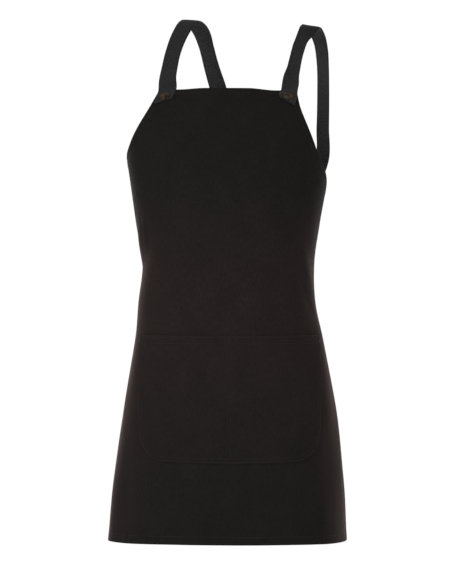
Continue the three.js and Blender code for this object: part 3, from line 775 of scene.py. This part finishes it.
# Where an edge is drawn in by a bend or a twist: which edge, how far along, over what length, how far in.
EDGE_ROLLS = {-1: (), 1: ((-1, 172, 16, 4.8), (-1, 40, 16, 1.6), (1, 38, 16, 2))}
WEBBING_DARK = (0.0075, 0.0075, 0.0075, 1)
WEBBING_LIGHT = (0.039, 0.0388, 0.0389, 1)
WEBBING_BOUND = (0.011, 0.011, 0.0115, 1)
# Painted shade: the cut ends are darkened where each end casts its shadow.
WEBBING_END_SHADE = (0.012, 0.012, 0.012, 1)
BOUND_EDGE = (15.2, 16.6)  # from the middle, where the bound edge starts to darken and is darkest
END_SHADE_WIDTH = 0.8
END_SHADE_CLUMP = (1.2, 1.2)
RIB_PITCH = 1.25
TICK_PITCH = 1.1
WEBBING_YARN = (0.8, 18)  # width and length of its streaks
WEBBING_CLOUD = (22, 60)
WEBBING_SPECKLE = (2.2, 2.8)
RIGHT_CUT_FROM = 500  # flat places of the right strap and of inner faces, so their yarns differ
INNER_CUT_FROM = 400
# Painted light and shade: how much lighter or darker the webbing is painted along each strap, and how much
# lighter its inner face is painted where it lies in shade on the back.
STRAP_PAINTED_LIGHT = {
    -1: ((0, 60, 150, 210), (1, 0.98, 0.9, 0.9)),
    1: ((30, 60, 95, 115), (1.17, 1.13, 0.95, 0.87)),
}
INNER_PAINTED_LIGHT = {-1: ((212, 245), (0.92, 1.5)), 1: ((250, 300, 420), (0.88, 1, 1.42))}


def webbing_material():
    """Cotton webbing: ribs along its length, weft ticks across them, darker bound edges, painted shade at
    the cut ends, and painted light and shade along each strap.
    """
    material, tree, shader = new_material("charcoal_webbing")
    place, wear_and_painted_light = read_attribute(tree, "flat", "Vector"), read_attribute(tree, "wear_and_painted_light")
    x, y, _ = add_node(tree, "ShaderNodeSeparateXYZ", {0: place}).outputs
    rib = calculate(tree, "SINE", calculate(tree, "MULTIPLY", x, 2 * math.pi / RIB_PITCH))
    tick = calculate(tree, "SINE", calculate(tree, "MULTIPLY", y, 2 * math.pi / TICK_PITCH))
    rope = calculate(tree, "MULTIPLY_ADD", calculate(tree, "MULTIPLY", rib, tick), 0.4, rib)
    yarn = streaks(tree, place, *WEBBING_YARN)
    cloudy = streaks(tree, place, *WEBBING_CLOUD, 3.0)
    speckle = streaks(tree, place, *WEBBING_SPECKLE, 1.0)
    tone = calculate(tree, "MULTIPLY_ADD", yarn, 0.3, calculate(tree, "MULTIPLY", cloudy, 0.2))
    tone = calculate(tree, "MULTIPLY_ADD", speckle, 1.6, tone)
    colour = blend_colours(tree, spread_over(tree, tone, 0.75, 1.35), WEBBING_DARK, WEBBING_LIGHT)
    bound = spread_over(tree, calculate(tree, "ABSOLUTE", x), *BOUND_EDGE, 0, 0.5)
    colour = blend_colours(tree, bound, colour, WEBBING_BOUND)
    # Painted shade towards each cut end.
    end_shade = calculate(tree, "MULTIPLY", wear_and_painted_light, streaks(tree, place, *END_SHADE_CLUMP, 4.0))
    colour = blend_colours(tree, end_shade, colour, WEBBING_END_SHADE)
    fill_inputs(tree, shader, {
        # Painted light and shade along each strap, lightening the inner face where it lies in shade.
        "Base Color": scale_colour(tree, colour, read_attribute(tree, "painted_light")),
        "Normal": relief(tree, calculate(tree, "MULTIPLY_ADD", yarn, 1.2, rope), 0.5, 0.00025),
        "Roughness": 0.8,
        "Specular IOR Level": 0.2,
        "Sheen Weight": 0.1,
        "Sheen Roughness": 0.45,
    })
    return material


def curve_at(points, t):
    """Places on the smooth curve through some points, by shares of the way counted in points."""
    wide = np.vstack([2 * points[0] - points[1], points, 2 * points[-1] - points[-2]])
    place = np.asarray(t) * (len(points) - 1)
    k = np.clip(place.astype(int), 0, len(points) - 2)
    w = (place - k)[:, None]
    p0, p1, p2, p3 = (wide[k + n] for n in range(4))
    stretches = ((p0, p1), (p1, p2), (p2, p3))
    before, here, after = (np.sum((b - a) ** 2, axis=1, keepdims=True) ** 0.25 for a, b in stretches)
    leave = here * ((p1 - p0) / before - (p2 - p0) / (before + here) + (p2 - p1) / here)
    arrive = here * ((p2 - p1) / here - (p3 - p1) / (here + after) + (p3 - p2) / after)
    bend = (2 * p1 - 2 * p2 + leave + arrive) * w**3 + (-3 * p1 + 3 * p2 - 2 * leave - arrive) * w**2
    return bend + leave * w + p1


def facing(sideways, upward):
    """A direction in degrees: sideways from the front towards the right, then upward."""
    turn, tilt = math.radians(sideways), math.radians(upward)
    return np.array([math.sin(turn) * math.cos(tilt), -math.cos(turn) * math.cos(tilt), math.sin(tilt)])


def front_stud_place(side):
    """Where a front stud goes through the panel, across and down."""
    return side * (half_width(STUD_FROM_TOP / PANEL_DROP) - FRONT_STUD_INSET), STUD_FROM_TOP


def back_stud_place(side):
    """Where a back stud goes through the panel's back corner, across and down."""
    at = ARMHOLE_END + BACK_STUD_INSET / PANEL_DROP
    return side * (half_width(at) - BACK_STUD_INSET), at * PANEL_DROP


def laid_end(stud, lean, falls):
    """The strap's middle and its normals where it lies on the panel, some way below a stud each."""
    turn = math.radians(lean)
    along = np.array([stud[0] + math.sin(turn) * fall for fall in falls])
    deep = np.array([max(stud[1] + math.cos(turn) * fall, 0) for fall in falls])
    return lay(along, deep, STRAP_LIFT - STRAP_THICKNESS / 2)


def strap_line(side):
    """Places along the strap's middle, its sideways and outward directions and how far along each is."""
    front_falls, back_falls = (STRAP_TAIL, 0, -STUD_FROM_TOP), (-STRAP_TAIL, 0, STRAP_TAIL)
    front, front_normals = laid_end(front_stud_place(side), -FRONT_LEANS[side], front_falls)
    back, back_normals = laid_end(back_stud_place(-side), side * BACK_LEAN, back_falls)
    scale = np.array([STRAP_SPREAD, STRAP_REACH, -BIB_BELOW_SHOULDER])
    places, normals = list(front), list(front_normals)
    for *place, sideways, upward, over in ROUTES["left" if side < 0 else "right"]:
        normals.append(facing(sideways, upward))
        places.append(scale * place + normals[-1] * over * (STRAP_THICKNESS + GAP))
    places, normals = np.array(places + list(back)), np.array(normals + list(back_normals))
    fine = np.linspace(0, 1, ROUTE_POINTS)
    run = distances(curve_at(places, fine))
    stops = graded(END_STEPS, END_STEPS, run[-1], STRAP_STEP)
    t = np.interp(stops, run, fine)
    middle, out = curve_at(places, t), curve_at(normals, t)
    forward = unit(np.gradient(middle, axis=0))
    sideways = unit(np.cross(forward, out))
    return middle, forward, sideways, np.cross(sideways, forward), stops


def strap(side, name):
    """One strap: flat webbing with plump bound edges and a slanting cut at its front end."""
    middle, forward, sideways, out, run = strap_line(side)
    share = np.concatenate([-np.array(SECTION[:0:-1]), SECTION])
    plump = np.interp(np.abs(share), *SECTION_BEAD)
    a = np.concatenate([share, share[::-1]])
    b = np.concatenate([plump, -plump[::-1]])
    slant = math.tan(math.radians(END_SLANT)) * np.clip(1 - run / STRAP_WIDTH, 0, 1)
    to_end = np.minimum(run, run[-1] - run)
    cut_in = CUT_CORNER - np.sqrt(CUT_CORNER**2 - np.clip(CUT_CORNER - to_end, 0, None) ** 2)
    across_strap = a * (STRAP_WIDTH / 2 - cut_in)[:, None]
    for edge, along, reach, depth in EDGE_ROLLS[side]:
        near = np.exp(-(((run - along) / reach) ** 2))[:, None]
        across_strap -= edge * depth * near * np.clip(edge * a, 0, 1) ** 3
    lift = np.interp(to_end, *CUT_THIN)[:, None] * b * STRAP_THICKNESS / 2
    lift -= TOP_CUP * smooth_step(*CUP_SLOPES, out[:, 2])[:, None] * a**4
    points = (
        middle[:, None]
        + sideways[:, None] * across_strap[:, :, None]
        - forward[:, None] * (side * slant[:, None] * across_strap)[:, :, None]
        + out[:, None] * lift[:, :, None]
    )
    ring = len(a)
    faces = tube_faces(len(run), ring)
    flat = np.zeros((len(run), ring, 3))
    flat[:, :, 0] = across_strap
    flat[:, :, 1] = run[:, None] + (RIGHT_CUT_FROM if side > 0 else 0) + INNER_CUT_FROM * (b < 0)
    # Painted shade towards the cut ends.
    wear_and_painted_light = np.repeat(np.exp(-to_end / END_SHADE_WIDTH), ring)
    piece = make_piece(f"webbing_strap_{name}", points.reshape(-1, 3), faces, webbing, flat, wear_and_painted_light)
    # Painted light and shade along each strap and on its shaded inner face.
    outer_painted_light, inner_painted_light = np.interp(run, *STRAP_PAINTED_LIGHT[side]), np.interp(run, *INNER_PAINTED_LIGHT[side])
    inner_painted_light = np.where(run < INNER_PAINTED_LIGHT[side][0][0], outer_painted_light, inner_painted_light)
    painted_light = np.where(b < 0, inner_painted_light[:, None], outer_painted_light[:, None])
    piece.data.attributes.new("painted_light", "FLOAT", "POINT").data.foreach_set("value", painted_light.ravel())
    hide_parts(f"strap_{name}")


webbing = webbing_material()
for side, name in ((-1, "left"), (1, "right")):
    strap(side, name)


# Studs: round press studs in antique brass, one through each strap end. The cap is a low dome inside
# a narrow rolled rim; its post passes through strap and canvas to a plate behind.
POST_RADIUS = 2.2
PLATE_RADIUS = 6
PLATE_THICKNESS = 1
STUD_SIDES = 56
CAP_WEAR_AND_HIGHLIGHT = ((4, 7.4, 8.4), (0.5, 0.35, 0.55))  # from the middle outwards, and how rubbed and brightened by painted highlight there
BLOTCH_SCALE = 130
BLOTCH_CONTRAST = 2.2
BLOTCH_LEVEL = 1.2  # the more, the darker
# Radius and height above the underside of the cap, from the middle of the top to the post.
CAP_PROFILE = [
    (0, 2.6), (1.5, 2.57), (3, 2.48), (4.4, 2.33), (5.6, 2.12), (6.6, 1.84), (7.2, 1.58), (7.6, 1.42),
    (8, 1.42), (8.4, 1.5), (8.75, 1.42), (8.95, 1.15), (9, 0.8), (8.85, 0.4), (8.5, 0.1), (8.1, 0),
    (POST_RADIUS, 0),
]
# Radius and depth below the top of the plate, from the post to the hollow middle of its underside.
PLATE_PROFILE = [
    (POST_RADIUS, 0), (PLATE_RADIUS, 0), (PLATE_RADIUS + 0.2, 0.4), (PLATE_RADIUS - 0.4, PLATE_THICKNESS),
    (3, PLATE_THICKNESS), (2.6, 0.6), (0, 0.6),
]
# Bright brass for the rubbed places and for the painted highlights on each cap.
BRASS_BRIGHT = (0.2, 0.142, 0.1, 1)
BRASS_DARK = (0.034, 0.021, 0.012, 1)


def brass_material():
    """Antiqued brass: brown and dull in the hollows, rubbed brighter on the rim and the dome, with the
    blotches and the brighter rim also standing in as painted highlights.
    """
    material, tree, shader = new_material("antique_brass")
    place = add_node(tree, "ShaderNodeTexCoord", {}).outputs["Object"]
    inputs = {"Vector": place, "Scale": BLOTCH_SCALE, "Detail": 2.0}
    blotch = add_node(tree, "ShaderNodeTexNoise", inputs).outputs[0]
    # Painted highlights: the blotches and the brighter rim stand in for glints as well as for rubbed brass.
    plain = calculate(tree, "SUBTRACT", read_attribute(tree, "wear_and_painted_light"), BLOTCH_LEVEL)
    lighter_share = calculate(tree, "MULTIPLY_ADD", blotch, BLOTCH_CONTRAST, plain)
    lighter_share = add_node(tree, "ShaderNodeClamp", {0: lighter_share}).outputs[0]
    fill_inputs(tree, shader, {
        "Base Color": blend_colours(tree, lighter_share, BRASS_DARK, BRASS_BRIGHT),
        "Roughness": spread_over(tree, lighter_share, 0, 1, 0.55, 0.3),
        "Normal": relief(tree, blotch, 0.15, 0.0002),
        "Metallic": 1,
    })
    return material


def turned(profile, sides):
    """Points and faces of a shape turned on a lathe, from the top of its axis to the bottom."""
    points, faces, rings = [], [], []
    for radius, height in profile:
        start = len(points)
        turn = [2 * math.pi * k / sides for k in range(sides if radius else 1)]
        points += [(radius * math.cos(t), radius * math.sin(t), height) for t in turn]
        rings.append(range(start, len(points)))
    for upper, lower in zip(rings, rings[1:]):
        for k in range(sides):
            n = (k + 1) % sides
            quad = [ring[m % len(ring)] for ring, m in ((upper, k), (lower, k), (lower, n), (upper, n))]
            faces.append(list(dict.fromkeys(quad)))
    return np.array(points), faces


def stud(node, place):
    """One stud, standing on the panel's face at a place across and down it."""
    cap_bottom = STRAP_LIFT + GAP + FACET_EASE / 2
    plate_top = -CANVAS_THICKNESS - HEM_EXTRA - GAP
    profile = [(radius, height + cap_bottom) for radius, height in CAP_PROFILE]
    profile += [(radius, plate_top - depth) for radius, depth in PLATE_PROFILE]
    points, faces = turned(profile, STUD_SIDES)
    foot, out = (found[0] for found in lay(np.array([place[0]]), np.array([place[1]])))
    first = unit(np.cross(out, (0, 0, 1)))
    placed = foot + points @ np.stack([first, np.cross(out, first), out])
    worn_and_highlit = np.interp(np.hypot(points[:, 0], points[:, 1]), *CAP_WEAR_AND_HIGHLIGHT)
    piece = make_piece(f"brass_{node}", placed, faces, brass, None, worn_and_highlit)
    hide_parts(node)


brass = brass_material()
for side, name in ((-1, "left"), (1, "right")):
    stud(f"front_stud_{name}", front_stud_place(side))
    stud(f"back_stud_{name}", back_stud_place(side))


# Room: a pale matt floor well below the hem, a plain white surround that only the eye sees, and soft
# light from large panels, so that the dark cloth keeps its shape against white. All in metres.
FLOOR_LEVEL = -1.6
FLOOR_RADIUS = 3.6
SURROUND_RADIUS = 30
DAYLIGHT = 0.4
# Name, place, height of the point that it looks at, size and watts.
SOFTBOXES = [
    ("key_left", (-1.6, -1.7, -0.1), -0.4, 1.0, 13),
    ("fill_right", (2.2, -2.2, 0.1), -0.4, 1.2, 5),
    ("front", (0.3, -2.8, -0.2), -0.4, 1.4, 9),
    ("rim_left", (-1.3, 2.3, -0.7), -0.7, 1.4, 30),
    ("rim_right", (1.5, 2.3, -0.55), -0.55, 1.4, 17),
]


def stage_material(name, colour, glow):
    """A plain grey that may glow white."""
    material, tree, shader = new_material(name)
    fill_inputs(tree, shader, {
        "Base Color": (colour, colour, colour, 1),
        "Roughness": 0.9,
        "Emission Color": (1, 1, 1, 1),
        "Emission Strength": glow,
    })
    return material


floor_middle = (0, 0, FLOOR_LEVEL)
bpy.ops.mesh.primitive_circle_add(vertices=96, radius=FLOOR_RADIUS, fill_type="NGON", location=floor_middle)
floor = bpy.context.object
floor.name = "floor"
floor.data.materials.append(stage_material("pale_floor", 0.8, 0.0))
bpy.ops.mesh.primitive_uv_sphere_add(segments=48, ring_count=24, radius=SURROUND_RADIUS)
surround = bpy.context.object
surround.name = "surround"
surround.data.materials.append(stage_material("white_surround", 0.0, 1.0))
for ray in ("diffuse", "glossy", "transmission", "shadow"):
    setattr(surround, f"visible_{ray}", False)

world = bpy.data.worlds.new("studio")
bpy.context.scene.world = world
world.use_nodes = True
background = world.node_tree.nodes["Background"]
fill_inputs(world.node_tree, background, {"Color": (1, 1, 1, 1), "Strength": DAYLIGHT})
bpy.context.scene.view_settings.view_transform = "Standard"


def softbox(name, place, aim_height, size, watts):
    """A square soft light that looks at a point on the object's upright middle line."""
    data = bpy.data.lights.new(name, "AREA")
    data.size = size
    data.energy = watts
    lamp = bpy.data.objects.new(name, data)
    lamp.location = place
    towards = np.subtract((0, 0, aim_height), place)
    yaw = math.atan2(towards[0], -towards[1])
    pitch = math.atan2(math.hypot(towards[0], towards[1]), -towards[2])
    lamp.rotation_euler = (pitch, 0, yaw + math.pi)
    lamp.visible_camera = False
    bpy.context.scene.collection.objects.link(lamp)


for light in SOFTBOXES:
    softbox(*light)

# Camera: level with the middle of the apron, far enough off that the sides hardly narrow.
CAMERA_DISTANCE = 5.5
CAMERA_AZIMUTH = math.radians(3)
CAMERA_HEIGHT = -0.491
CAMERA_LENS = 185.1
SENSOR_WIDTH = 36
camera_data = bpy.data.cameras.new("camera")
camera_data.lens = CAMERA_LENS
camera_data.sensor_width = SENSOR_WIDTH
camera = bpy.data.objects.new("camera", camera_data)
camera.location = (
    CAMERA_DISTANCE * math.sin(CAMERA_AZIMUTH),
    -CAMERA_DISTANCE * math.cos(CAMERA_AZIMUTH),
    CAMERA_HEIGHT,
)
camera.rotation_euler = (math.pi / 2, 0, CAMERA_AZIMUTH)
bpy.context.scene.collection.objects.link(camera)
bpy.context.scene.camera = camera
